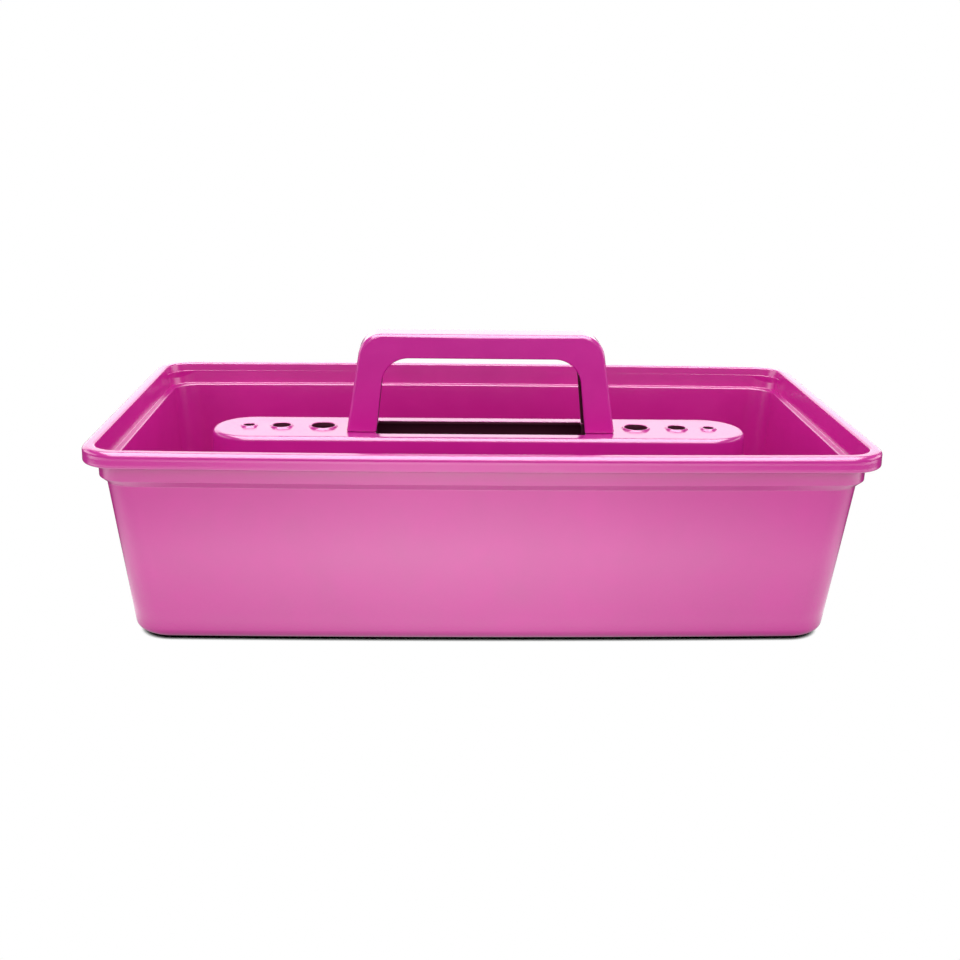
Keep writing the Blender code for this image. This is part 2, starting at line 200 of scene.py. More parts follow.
# Camera: lens and sensor in millimetres, angles in radians.
CAMERA_PLACE = (-0.0251, -0.68188, 0.27580)
CAMERA_LENS = 46.875
CAMERA_SENSOR = 36.0
CAMERA_PITCH = 0.3061           # below the horizon
CAMERA_YAW = 0.0373             # towards +X
CAMERA_ROLL = -0.0168
CAMERA_NEAREST = 0.01

# Studio paper: its size, and its light under the base and round it.
PAPER_HALF_SIZE = 8.0
FLOOR_GAP = 0.0001              # below the feet, so that their faces and the paper aren't in one plane
FOOTPRINT = (0.160, 0.066, 0.0)  # half size of the middle of the base, out to the feet
UNDER_BLEND = 0.0010            # run over which the paper that the camera sees goes from shaded to white
COVERED = 0.014                 # distance out from the footprint where the paper starts to light the object
UNCOVERED = 0.040               # and where it lights it fully
PAPER_UNDER = 0.16              # light of the paper in the shade under the base, against 1 for white
PAPER_DIFFUSE = 0.60
# The contact values set the painted contact shadow on the paper.
CONTACT_REACH = 0.0035          # how near the object the paper darkens
CONTACT_DARK = 0.30             # openness of the paper where it is black
CONTACT_LIGHT = 0.60            # and where it is white
CONTACT_SAMPLES = 24

# Painted glow of the paper in reflections, a pool of light that is no lamp. It is brightest in front of the
# object and weaker to the sides.
PAPER_GLOSSY = 7.2
PAPER_DULL = 0.10               # reflected light where there is no glow
GLOW_PROFILE = (                # distance out from the footprint, share of the full glow
    (0.000, 0.50), (0.030, 0.46), (0.050, 0.44), (0.110, 0.64), (0.180, 0.40), (0.290, 0.44), (0.340, 0.95),
    (0.420, 0.92), (0.460, 0.02), (0.600, 0.00))
GLOW_MIDDLE = -0.020            # along X
GLOW_HALF_WIDTH = 0.300
GLOW_EDGE = 0.52                # share of the glow left at the half width
GLOW_SIDE = 0.030               # across Y, from no glow beside the object to full glow in front
GLOW_FRONT = -0.100

# Room light, as diffuse surfaces and as reflections take it, against 1 for the white background.
ROOM_DIFFUSE = 1.24
ROOM_GLOSSY = 0.30

# Light panels: name, place, target, width, height, radiance, and whether it lights reflections alone
# or diffuse surfaces alone.
PANELS = (
    ("back_wall", (-0.2, 2.20, 0.80), (0.0, 0.0, 0.35), 4.4, 1.6, 2.3, True),
    ("overhead", (0.0, -0.60, 2.00), (0.0, -0.60, 0.0), 2.6, 3.6, 11.0, True),
    ("front_wall", (0.0, -2.60, 1.80), (0.0, 0.0, 1.00), 3.0, 1.5, 3.0, True),
    ("left", (-2.0, 0.20, 0.60), (0.0, 0.20, 0.10), 2.0, 1.0, 3.0, True),
    ("right", (2.0, 0.20, 0.60), (0.0, 0.20, 0.10), 2.0, 1.0, 3.0, True),
    ("front", (-0.05, -1.00, 0.62), (0.0, 0.0, 0.08), 1.4, 0.6, 0.32, False),
)


# ---------------------------------------------------------------- outlines

def fillet(corner, toward_start, toward_end, radius, steps):
    """Points of the arc that rounds a corner between two straight directions."""
    start = Vector(toward_start).normalized()
    end = Vector(toward_end).normalized()
    half_angle = start.angle(end) / 2
    centre = Vector(corner) + (start + end).normalized() * radius / math.sin(half_angle)
    tangent = radius / math.tan(half_angle)
    first = Vector(corner) + start * tangent - centre
    sweep = (Vector(corner) + end * tangent - centre).angle_signed(first)
    points = []
    for step in range(steps + 1):
        turn = sweep * step / steps
        points.append(centre + Vector((first.x * math.cos(turn) - first.y * math.sin(turn),
                                       first.x * math.sin(turn) + first.y * math.cos(turn))))
    return points


def arc_steps(radius):
    return 4 + int(radius / 0.0010)


def rounded_path(corners, closed=False, steps=None):
    """Round the corners (x, y, radius, extra) of a path. The extra value runs evenly along it."""
    points = []
    last = len(corners) - 1
    for i, (x, y, radius, extra) in enumerate(corners):
        if not radius or (not closed and i in (0, last)):
            points.append((x, y, extra))
            continue
        before, after = corners[i - 1], corners[(i + 1) % len(corners)]
        corner = Vector((x, y))
        back, ahead = Vector(before[:2]) - corner, Vector(after[:2]) - corner
        arc = fillet(corner, back, ahead, radius, steps or arc_steps(radius))
        tangent = (arc[0] - corner).length
        first = extra + (before[3] - extra) * tangent / back.length
        final = extra + (after[3] - extra) * tangent / ahead.length
        for step, point in enumerate(arc):
            points.append((point.x, point.y, first + (final - first) * step / (len(arc) - 1)))
    return points


def with_spans(points):
    """Add points along the straight stretches of a path that are longer than the longest span."""
    result = []
    for a, b in zip(points, points[1:]):
        count = max(1, math.ceil(math.dist(a[:2], b[:2]) / LONGEST_SPAN))
        for step in range(count):
            result.append(tuple(p + (q - p) * step / count for p, q in zip(a, b)))
    return result + [tuple(points[-1])]


def rounded_loop(half_length, half_width, radius, z, crown=0.0):
    """A level rounded rectangle, anticlockwise, whose long sides bow out by crown at the middle."""
    straight_x, straight_y = half_length - radius, half_width - radius
    short_steps = SHORT_SIDE_STEPS if straight_y > LONGEST_SPAN else 1
    points = []
    for quadrant, (side_x, side_y) in enumerate(((1, 1), (-1, 1), (-1, -1), (1, -1))):
        for step in range(CORNER_STEPS + 1):
            angle = math.radians(90) * (quadrant + step / CORNER_STEPS)
            points.append((side_x * straight_x + radius * math.cos(angle),
                           side_y * straight_y + radius * math.sin(angle), z))
        if side_x == side_y:
            for step in range(1, LONG_SIDE_STEPS):
                along = 1 - 2 * step / LONG_SIDE_STEPS
                bow = crown * (1 - along ** 2)
                points.append((side_x * along * straight_x, side_y * (half_width + bow), z))
        else:
            for step in range(1, short_steps):
                along = 1 - 2 * step / short_steps
                points.append((side_x * half_length, side_y * along * straight_y, z))
    return points


def tray_loop(half_length, z, radius):
    """A level loop of the tray, whose long sides bow more towards the rim."""
    crown = BASE_CROWN + (LONG_SIDE_CROWN - BASE_CROWN) * (z / RIM_HEIGHT) ** 2
    return rounded_loop(half_length, half_length - LENGTH_OVER_WIDTH, radius, z, crown)


def rack_loop(inset, z):
    """A level loop of the rack's outer wall, moved in by inset."""
    grow = RACK_TAPER * (DECK_HEIGHT - z) - inset
    half_width = RACK_HALF_WIDTH + grow
    return rounded_loop(RACK_HALF_LENGTH + grow, half_width, half_width - END_FLAT / 2, z)


def circle(x, y, z, radius, segments):
    angles = [2 * math.pi * step / segments for step in range(segments)]
    return [(x + radius * math.cos(a), y + radius * math.sin(a), z) for a in angles]


# ---------------------------------------------------------------- mesh building

def new_ring(bm, points):
    return [bm.verts.new(point) for point in points]


def bridge(bm, lower, upper):
    count = len(lower)
    for i in range(count):
        j = (i + 1) % count
        bm.faces.new((lower[i], lower[j], upper[j], upper[i]))


def loft(bm, loops):
    """Skin loops of equal count. Returns the rings of vertices."""
    rings = [new_ring(bm, loop) for loop in loops]
    for lower, upper in zip(rings, rings[1:]):
        bridge(bm, lower, upper)
    return rings


def fill_between(bm, rings):
    """Fill the level region inside the first ring and outside the others."""
    edges = []
    for ring in rings:
        for a, b in zip(ring, ring[1:] + ring[:1]):
            edges.append(bm.edges.get((a, b)) or bm.edges.new((a, b)))
    bmesh.ops.triangle_fill(bm, use_beauty=True, edges=edges)


def add_object(name, bm):
    bmesh.ops.recalc_face_normals(bm, faces=bm.faces)
    mesh = bpy.data.meshes.new(name)
    bm.to_mesh(mesh)
    bm.free()
    item = bpy.data.objects.new(name, mesh)
    bpy.context.scene.collection.objects.link(item)
    return item


def combine(item, tool, operation):
    """Apply a Boolean with a tool object, and remove the tool."""
    modifier = item.modifiers.new("combine", "BOOLEAN")
    modifier.operation = operation
    modifier.object = tool
    modifier.solver = "EXACT"
    evaluated = item.evaluated_get(bpy.context.evaluated_depsgraph_get())
    mesh = bpy.data.meshes.new_from_object(evaluated)
    item.modifiers.clear()
    item.data = mesh
    bpy.data.objects.remove(tool)


def finish_piece(item, node, material, inside=None, is_inside=None):
    """Shade a piece, give it its materials, and let it stand for its CAD node."""
    item.data.materials.clear()
    item.data.materials.append(material)
    # The second material, when given, is painted shade on the faces that is_inside picks out.
    if inside:
        item.data.materials.append(inside)
        for face in item.data.polygons:
            face.material_index = int(is_inside(face.center, face.normal))
    item.data.shade_smooth()
    item.data.set_sharp_from_angle(angle=SHARP_ANGLE)
    modifier = item.modifiers.new("weighted_normal", "WEIGHTED_NORMAL")
    modifier.keep_sharp = True
    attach(item, "root")
    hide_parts(node)


def prism(name, outline, axis, start, length):
    """Extrude an outline of (across, z) points along +X (axis 0) or +Y (axis 1)."""
    bm = bmesh.new()
    place = (lambda a, z: (start, a, z)) if axis == 0 else (lambda a, z: (a, start, z))
    extruded = bmesh.ops.extrude_face_region(
        bm, geom=[bm.faces.new([bm.verts.new(place(a, z)) for a, z in outline])])
    moved = [part for part in extruded["geom"] if isinstance(part, bmesh.types.BMVert)]
    bmesh.ops.translate(bm, vec=(length, 0, 0) if axis == 0 else (0, length, 0), verts=moved)
    return add_object(name, bm)


# ---------------------------------------------------------------- tray

def tray_profile():
    """(half length, z, plan corner radius) from the underside, up, over the rim and down to the floor."""
    def outer(half_length):
        return max(LIP_CORNER_RADIUS - (LIP_HALF_LENGTH - half_length), WALL_CORNER_RADIUS)

    foot = WALL_TOP_HALF_LENGTH - WALL_TAPER * (WALL_TOP - BASE_HEIGHT)
    inner = LEDGE_HALF_LENGTH - LEDGE_WIDTH
    inner_foot = inner - WALL_TAPER * (LEDGE_HEIGHT - FLOOR_HEIGHT)
    start = foot - BASE_EDGE_RADIUS - FLAT_MARGIN
    end = inner_foot - FLOOR_EDGE_RADIUS - FLAT_MARGIN
    rim_radius = LIP_CORNER_RADIUS - (LIP_HALF_LENGTH - RIM_INNER_HALF_LENGTH)
    bead_top = LIP_BOTTOM + LIP_BEAD_HEIGHT
    corners = [
        (start, BASE_HEIGHT, 0, BASE_CORNER_RADIUS - (foot - start) / 2),
        (foot, BASE_HEIGHT, BASE_EDGE_RADIUS, BASE_CORNER_RADIUS),
        (WALL_TOP_HALF_LENGTH, WALL_TOP, WALL_TOP_RADIUS, outer(WALL_TOP_HALF_LENGTH)),
        (BAND_HALF_LENGTH, BAND_BOTTOM, EDGE_RADIUS, outer(BAND_HALF_LENGTH)),
        (BAND_HALF_LENGTH, GROOVE_ROOF, FINE_RADIUS, outer(BAND_HALF_LENGTH)),
        (RIM_FACE_HALF_LENGTH - LIP_THICKNESS, GROOVE_ROOF, FINE_RADIUS,
         outer(RIM_FACE_HALF_LENGTH - LIP_THICKNESS)),
        (LIP_HALF_LENGTH - LIP_THICKNESS, LIP_BOTTOM, FINE_RADIUS, outer(LIP_HALF_LENGTH - LIP_THICKNESS)),
        (LIP_HALF_LENGTH, LIP_BOTTOM, LIP_EDGE_RADIUS, outer(LIP_HALF_LENGTH)),
        (LIP_HALF_LENGTH, bead_top, BEAD_RADIUS, outer(LIP_HALF_LENGTH)),
        (RIM_FACE_HALF_LENGTH, bead_top + LIP_BEAD_SLOPE, BEAD_BLEND_RADIUS, outer(RIM_FACE_HALF_LENGTH)),
        (RIM_FACE_HALF_LENGTH, RIM_HEIGHT, RIM_FACE_RADIUS, outer(RIM_FACE_HALF_LENGTH)),
        (RIM_CREST_HALF_LENGTH, RIM_HEIGHT, CREST_RADIUS, outer(RIM_CREST_HALF_LENGTH)),
        (RIM_INNER_HALF_LENGTH, RIM_INNER_HEIGHT, EDGE_RADIUS, rim_radius),
        (LEDGE_HALF_LENGTH, LEDGE_HEIGHT, FINE_RADIUS, LEDGE_CORNER_RADIUS),
        (inner, LEDGE_HEIGHT, LEDGE_RADIUS, LEDGE_CORNER_RADIUS),
        (inner_foot, FLOOR_HEIGHT, FLOOR_EDGE_RADIUS, LEDGE_CORNER_RADIUS),
        (end, FLOOR_HEIGHT, 0, LEDGE_CORNER_RADIUS - (inner_foot - end) / 2),
    ]
    return with_spans(rounded_path(corners))


def collar_profile():
    """(inset, z) from the floor up the collar and down to the underside."""
    outer = RACK_WALL + GAP
    inner = outer + COLLAR_WALL
    corners = [
        (outer - FLAT_MARGIN, FLOOR_HEIGHT, 0, 0),
        (outer, FLOOR_HEIGHT, FINE_RADIUS, 0),
        (outer, COLLAR_HEIGHT, EDGE_RADIUS, 0),
        (inner, COLLAR_HEIGHT, EDGE_RADIUS, 0),
        (inner, BASE_HEIGHT, EDGE_RADIUS, 0),
        (inner - FLAT_MARGIN, BASE_HEIGHT, 0, 0),
    ]
    return rounded_path(corners)


def foot_place(node):
    """The middle of a foot in plan, from the frame."""
    low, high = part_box(node)
    return (low.x + high.x) / 2, (low.y + high.y) / 2


def foot_recess(bm, x, y):
    """A round recess in the underside. Returns its rim's ring."""
    radius = FOOT_RADIUS + GAP
    corners = [(radius + FINE_RADIUS, BASE_HEIGHT, 0, 0), (radius, BASE_HEIGHT, FINE_RADIUS / 2, 0),
               (radius, RECESS_ROOF, FINE_RADIUS / 2, 0), (radius / 2, RECESS_ROOF, 0, 0)]
    rings = loft(bm, [circle(x, y, z, r, HOLE_SEGMENTS) for r, z, _ in rounded_path(corners)])
    bm.faces.new(rings[-1])
    return rings[0]


def make_tray(material):
    bm = bmesh.new()
    walls = loft(bm, [tray_loop(half, z, plan) for half, z, plan in tray_profile()])
    collar = loft(bm, [rack_loop(inset, z) for inset, z, _ in collar_profile()])
    recesses = [foot_recess(bm, *foot_place(node)) for node in FEET]
    fill_between(bm, [walls[-1], collar[0]])
    fill_between(bm, [walls[0], collar[-1], *recesses])
    tray = add_object("tray", bm)
    for x in HOOK_POSITIONS:
        half = HOOK_WIDTH / 2 + WINDOW_MARGIN
        low, high = HOOK_BOTTOM - WINDOW_MARGIN, HOOK_TOP + WINDOW_MARGIN / 2
        outline = ((x - half, low), (x + half, low), (x + half, high), (x - half, high))
        reach = RACK_HALF_WIDTH + FLAT_MARGIN
        combine(tray, prism("window", outline, 1, -reach, 2 * reach), "DIFFERENCE")
    finish_piece(tray, "tray_body", material)


# ---------------------------------------------------------------- rack

def rack_profile():
    """(inset, z) from the deck's flat, over its edge, down the skirt and up inside to the underside."""
    corners = [
        (RACK_EDGE_RADIUS + FLAT_MARGIN, DECK_HEIGHT, 0, 0),
        (0, DECK_HEIGHT, RACK_EDGE_RADIUS, 0),
        (0, RACK_BOTTOM, FINE_RADIUS, 0),
        (RACK_WALL, RACK_BOTTOM, FINE_RADIUS, 0),
        (RACK_WALL, DECK_UNDERSIDE, RACK_EDGE_RADIUS - RACK_WALL, 0),
        (RACK_WALL + 2 * FLAT_MARGIN, DECK_UNDERSIDE, 0, 0),
    ]
    return with_spans(rounded_path(corners))


def slot_loop(offset, z):
    """The deck's slot: wide under the grip and narrower at its ends, moved out by offset."""
    wide_x, wide_y = SLOT_HALF_LENGTH + offset, SLOT_HALF_WIDTH + offset
    end_x, end_y = TONGUE_HALF_LENGTH + GAP + offset, TONGUE_HALF_DEPTH + GAP + offset
    outward, inward = SLOT_CORNER_RADIUS + offset, SLOT_CORNER_RADIUS - offset
    quarter = ((end_x, end_y, outward), (wide_x, end_y, inward), (wide_x, wide_y, outward))
    corners = []
    for side_x, side_y in ((1, 1), (-1, 1), (-1, -1), (1, -1)):
        order = quarter if side_x == side_y else quarter[::-1]
        corners += [(side_x * x, side_y * y, radius, 0) for x, y, radius in order]
    return [(x, y, z) for x, y, _ in rounded_path(corners, closed=True, steps=SLOT_STEPS)]


def slot_wall(bm):
    corners = [(FINE_RADIUS + FLAT_MARGIN / 4, DECK_HEIGHT, 0, 0), (0, DECK_HEIGHT, FINE_RADIUS, 0),
               (0, DECK_UNDERSIDE, FINE_RADIUS / 2, 0), (FLAT_MARGIN / 4, DECK_UNDERSIDE, 0, 0)]
    return loft(bm, [slot_loop(offset, z) for offset, z, _ in rounded_path(corners)])


def tool_hole(bm, x, bore, ring):
    """A bore with a raised ring round it. Returns its rings, from the deck to the underside."""
    top = DECK_HEIGHT + HOLE_RING_HEIGHT
    corners = [
        (ring / 2 + FLAT_MARGIN / 4, DECK_HEIGHT, 0, 0),
        (ring / 2, DECK_HEIGHT, FINE_RADIUS, 0),
        (ring / 2 - HOLE_RING_SLOPE, top, FINE_RADIUS, 0),
        (bore / 2, top, FINE_RADIUS, 0),
        (bore / 2, DECK_UNDERSIDE, FINE_RADIUS / 2, 0),
        (bore / 2 + FLAT_MARGIN / 4, DECK_UNDERSIDE, 0, 0),
    ]
    return loft(bm, [circle(x, 0, z, r, HOLE_SEGMENTS) for r, z, _ in rounded_path(corners)])


# Picks the rack's faces that carry the painted shade.
def in_rack(centre, normal):
    """Whether a face of the rack is below the deck's top and within the skirt's wall."""
    if centre.z > DECK_HEIGHT - FINE_RADIUS:
        return False
    inset = RACK_WALL / 2 if centre.z < DECK_HEIGHT - RACK_EDGE_RADIUS else RACK_EDGE_RADIUS + FINE_RADIUS
    half_width = RACK_HALF_WIDTH + RACK_TAPER * (DECK_HEIGHT - centre.z) - inset
    middle = RACK_HALF_LENGTH - RACK_HALF_WIDTH
    return math.hypot(max(abs(centre.x) - middle, 0), centre.y) < half_width


def make_rack(material, inside):
    bm = bmesh.new()
    skirt = loft(bm, [rack_loop(inset, z) for inset, z, _ in rack_profile()])
    slot = slot_wall(bm)
    holes = [tool_hole(bm, x, bore, ring) for offset, bore, ring in TOOL_HOLES for x in (-offset, offset)]
    fill_between(bm, [skirt[0], slot[0]] + [hole[0] for hole in holes])
    fill_between(bm, [skirt[-1], slot[-1]] + [hole[-1] for hole in holes])
    rack = add_object("rack", bm)

    middle = (HOOK_BOTTOM + HOOK_TOP) / 2
    face = RACK_HALF_WIDTH + RACK_TAPER * (DECK_HEIGHT - middle) - RACK_WALL
    for x in HOOK_POSITIONS:
        for side in (-1, 1):
            outline = [(side * y, z) for y, z in (
                (face + RACK_WALL / 2, HOOK_BOTTOM), (face + RACK_WALL / 2, HOOK_TOP),
                (face - HOOK_REACH, HOOK_TOP), (face - HOOK_REACH, HOOK_TOP - HOOK_TIP))]
            combine(rack, prism("hook", outline, 0, x - HOOK_WIDTH / 2, HOOK_WIDTH), "UNION")
    finish_piece(rack, "tool_rack", material, inside, in_rack)


# ---------------------------------------------------------------- handle

def channel_section(outer, inner, depth_at, wall, edge):
    """Closed loop of a channel that is open at its inner side, with rounded edges, lips and root."""
    across = outer - inner
    width = across.length
    lip = wall * LIP_SHARE
    middle = depth_at(outer.y) - edge - FLAT_MARGIN
    half = rounded_path([(width, edge + middle, 0, 0), (width, 0, edge, 0), (0, 0, lip, 0), (0, wall, lip, 0),
                         (width - wall, wall, edge / 2, 0), (width - wall, edge + middle, 0, 0)],
                        steps=SLOT_STEPS)
    loop = []
    for side, points in ((1, half), (-1, half[::-1])):
        for along, inset, _ in points:
            place = inner + across * (along / width)
            loop.append((place.x, side * (depth_at(place.y) - inset), place.y))
    return loop


def tongue_loop(z, inset=0.0):
    """Section of the narrower tongue that passes through the deck on the right."""
    outer = Vector((TONGUE_HALF_LENGTH - inset, z))
    inner = Vector((SLOT_HALF_LENGTH + GAP + inset, z))
    return channel_section(outer, inner, lambda height: TONGUE_HALF_DEPTH - inset,
                           TONGUE_WALL, TONGUE_EDGE_RADIUS)


def handle_stations():
    """Pairs of outer and inner points, from the right foot over the grip to the middle of the grip."""
    def outer_x(z):
        return HANDLE_FOOT_HALF_LENGTH - HANDLE_OUTER_LEAN * (z - DECK_HEIGHT)

    def inner_x(z):
        return SLOT_HALF_LENGTH - HANDLE_INNER_LEAN * (z - DECK_HEIGHT)

    outer = fillet((outer_x(HANDLE_TOP), HANDLE_TOP), (HANDLE_OUTER_LEAN, -1), (-1, 0),
                   HANDLE_OUTER_RADIUS, HANDLE_STEPS)
    inner = fillet((inner_x(GRIP_UNDERSIDE), GRIP_UNDERSIDE), (HANDLE_INNER_LEAN, -1), (-1, 0),
                   HANDLE_INNER_RADIUS, HANDLE_STEPS)
    foot = DECK_HEIGHT + GAP + FINE_RADIUS
    leg = [(Vector((outer_x(foot), foot)), Vector((inner_x(foot), foot)))]
    middle = [(Vector((0, HANDLE_TOP)), Vector((0, GRIP_UNDERSIDE)))]
    keys = leg + list(zip(outer, inner)) + middle
    stations = []
    for (outer_a, inner_a), (outer_b, inner_b) in zip(keys, keys[1:]):
        count = max(1, math.ceil((outer_b - outer_a).length / HANDLE_SPAN))
        for step in range(count):
            share = step / count
            stations.append((outer_a.lerp(outer_b, share), inner_a.lerp(inner_b, share)))
    return stations + middle


def half_depth(z):
    """Half the handle's depth along Y, which narrows as it rises."""
    return HANDLE_FOOT_HALF_DEPTH - HANDLE_DEPTH_LEAN * (z - DECK_HEIGHT)


def handle_loops():
    """Sections from the right tongue's tip, over the grip, to the left tongue's tip."""
    def section(pair, inset=0.0, drop=0.0):
        sink = Vector((0, -drop))
        outer = pair[0] - Vector((inset, 0)) + sink
        inner = pair[1] + Vector((inset, 0)) + sink
        return channel_section(outer, inner, lambda z: half_depth(z) - inset, HANDLE_WALL, HANDLE_EDGE_RADIUS)

    stations = handle_stations()
    foot = [section(stations[0], FINE_RADIUS, FINE_RADIUS)]
    for step in (1, 2):
        turn = math.radians(30 * step)
        foot.append(section(stations[0], FINE_RADIUS * (1 - math.sin(turn)), FINE_RADIUS * math.cos(turn)))
    shoulder = DECK_HEIGHT + GAP
    tip = DECK_HEIGHT - TONGUE_LENGTH
    half = [tongue_loop(tip, FINE_RADIUS), tongue_loop(tip + FINE_RADIUS), tongue_loop(shoulder), *foot]
    half += [section(pair) for pair in stations[:-1]]
    mirrored = [[(-x, y, z) for x, y, z in loop] for loop in reversed(half)]
    return half + [section(stations[-1])] + mirrored


# Picks the handle's faces that carry the painted shade.
def in_channel(centre, normal):
    """Whether a face of the handle is on the inside of its channel."""
    if abs(centre.y) > half_depth(centre.z) - HANDLE_WALL / 2:
        return False
    return normal.dot(Vector((-centre.x, -centre.y * 4, DECK_HEIGHT - centre.z))) > 0


def make_handle(material, inside):
    bm = bmesh.new()
    rings = loft(bm, handle_loops())
    bm.faces.new(rings[0])
    bm.faces.new(rings[-1])
    handle = add_object("handle", bm)
    top = DECK_UNDERSIDE - GAP
    face = TONGUE_HALF_LENGTH
    outline = ((face - TONGUE_WALL / 2, top), (face + BARB_REACH, top), (face + BARB_REACH, top - BARB_TIP),
               (face, top - BARB_HEIGHT), (face - TONGUE_WALL / 2, top - BARB_HEIGHT))
    for side in (-1, 1):
        wedge = prism("barb", [(side * x, z) for x, z in outline], 1, -BARB_WIDTH / 2, BARB_WIDTH)
        combine(handle, wedge, "UNION")
    finish_piece(handle, "carry_handle", material, inside, in_channel)


# ---------------------------------------------------------------- feet

def make_feet(material):
    top = RECESS_ROOF - GAP
    corners = [(FOOT_RADIUS / 2, top, 0, 0), (FOOT_RADIUS, top, FINE_RADIUS, 0),
               (FOOT_RADIUS, 0, FOOT_EDGE, 0), (FOOT_RADIUS / 2, 0, 0, 0)]
    for node in FEET:
        x, y = foot_place(node)
        bm = bmesh.new()
        rings = loft(bm, [circle(x, y, z, r, FOOT_SEGMENTS) for r, z, _ in rounded_path(corners)])
        bm.faces.new(rings[0])
        bm.faces.new(rings[-1])
        foot = add_object(node.replace("foot", "pad"), bm)
        finish_piece(foot, node, material)


# ---------------------------------------------------------------- materials

class Nodes:
    """A material's node tree, with short calls for the nodes that the plastics need."""

    def __init__(self, name):
        self.material = bpy.data.materials.new(name)
        self.material.use_nodes = True
        self.tree = self.material.node_tree
        self.shader = self.tree.nodes["Principled BSDF"]

    def add(self, kind, inputs=None, **settings):
        node = self.tree.nodes.new(kind)
        for key, value in settings.items():
            setattr(node, key, value)
        for socket, value in (inputs or {}).items():
            self.feed(node.inputs[socket], value)
        return node

    def feed(self, socket, value):
        if isinstance(value, bpy.types.NodeSocket):
            self.tree.links.new(value, socket)
        else:
            socket.default_value = value

    def math(self, operation, a, b):
        node = self.add("ShaderNodeMath", {0: a, 1: b}, operation=operation)
        return node.outputs[0]

    def vector_math(self, operation, a, b=(0, 0, 0)):
        node = self.add("ShaderNodeVectorMath", {0: a, 1: b}, operation=operation)
        return node.outputs["Vector"]

    def noise(self, place, scale, detail=2.0, roughness=0.5, distortion=0.0):
        node = self.add("ShaderNodeTexNoise", {"Vector": place, "Scale": scale, "Detail": detail,
                                               "Roughness": roughness, "Distortion": distortion})
        return node.outputs["Fac"]

    def spread(self, value, low, high, out_low=0.0, out_high=1.0):
        """Map a value's range to another, held at its ends."""
        node = self.add("ShaderNodeMapRange", {"Value": value, "From Min": low, "From Max": high,
                                               "To Min": out_low, "To Max": out_high})
        return node.outputs["Result"]

    def mix(self, share, a, b):
        """Mix two colours. Sockets 6, 7 and 2 are the colour ones of the Mix node."""
        node = self.add("ShaderNodeMix", {"Factor": share, 6: a, 7: b}, data_type="RGBA")
        return node.outputs[2]

    def mix_values(self, share, a, b):
        return self.add("ShaderNodeMix", {"Factor": share, "A": a, "B": b}).outputs["Result"]

    def bump(self, height, distance, normal=None):
        inputs = {"Height": height, "Distance": distance, "Strength": 1.0}
        if normal:
            inputs["Normal"] = normal
        return self.add("ShaderNodeBump", inputs).outputs["Normal"]


def shade(colour, factor):
    return (*[channel * factor for channel in colour], 1.0)


def moulded_plastic(name, seed, colour, roughness, specular):
    """Gloss polypropylene: faint flow clouds, mottled tint, orange peel and fine grain in the gloss."""
    nodes = Nodes(name)
    place = nodes.add("ShaderNodeTexCoord").outputs["Object"]
    place = nodes.add("ShaderNodeMapping", {"Vector": place, "Location": (seed, seed / 3, -seed)}).outputs[0]
    clouds = nodes.noise(place, CLOUD_SCALE, detail=3.0, distortion=0.6)
    mottle = nodes.noise(place, MOTTLE_SCALE, detail=4.0, roughness=0.6)
    peel = nodes.noise(place, PEEL_SCALE)
    grain = nodes.noise(place, GRAIN_SCALE)

    colour_share = nodes.math("ADD", nodes.math("MULTIPLY", clouds, 0.7), nodes.math("MULTIPLY", mottle, 0.3))
    tint = nodes.mix(nodes.spread(colour_share, 0.35, 0.65), shade(colour, 1 - TINT_VARIATION),
                     shade(colour, 1 + TINT_VARIATION))
    nodes.feed(nodes.shader.inputs["Base Color"], tint)

    gloss_share = nodes.math("ADD", nodes.math("MULTIPLY", mottle, 0.6), nodes.math("MULTIPLY", grain, 0.4))
    rough = nodes.spread(gloss_share, 0.3, 0.7, roughness - GLOSS_VARIATION, roughness + GLOSS_VARIATION)
    nodes.feed(nodes.shader.inputs["Roughness"], rough)

    normal = nodes.bump(clouds, CLOUD_HEIGHT)
    normal = nodes.bump(peel, PEEL_HEIGHT, normal)
    nodes.feed(nodes.shader.inputs["Normal"], normal)
    nodes.shader.inputs["IOR"].default_value = PLASTIC_IOR
    nodes.shader.inputs["Specular IOR Level"].default_value = specular
    return nodes.material


def soft_rubber(name):
    """Matte elastomer with a fine grain and a little dust."""
    nodes = Nodes(name)
    place = nodes.add("ShaderNodeTexCoord").outputs["Object"]
    grain = nodes.noise(place, RUBBER_GRAIN_SCALE, detail=3.0, roughness=0.6)
    dust = nodes.noise(place, DUST_SCALE, detail=4.0, roughness=0.6)
    tint = nodes.mix(nodes.spread(dust, 0.35, 0.75), shade(SOFT_PINK, 0.9), shade(SOFT_PINK, 1.25))
    nodes.feed(nodes.shader.inputs["Base Color"], tint)
    nodes.feed(nodes.shader.inputs["Roughness"], nodes.spread(dust, 0.3, 0.7, 0.55, 0.72))
    nodes.feed(nodes.shader.inputs["Normal"], nodes.bump(grain, RUBBER_GRAIN_HEIGHT))
    return nodes.material


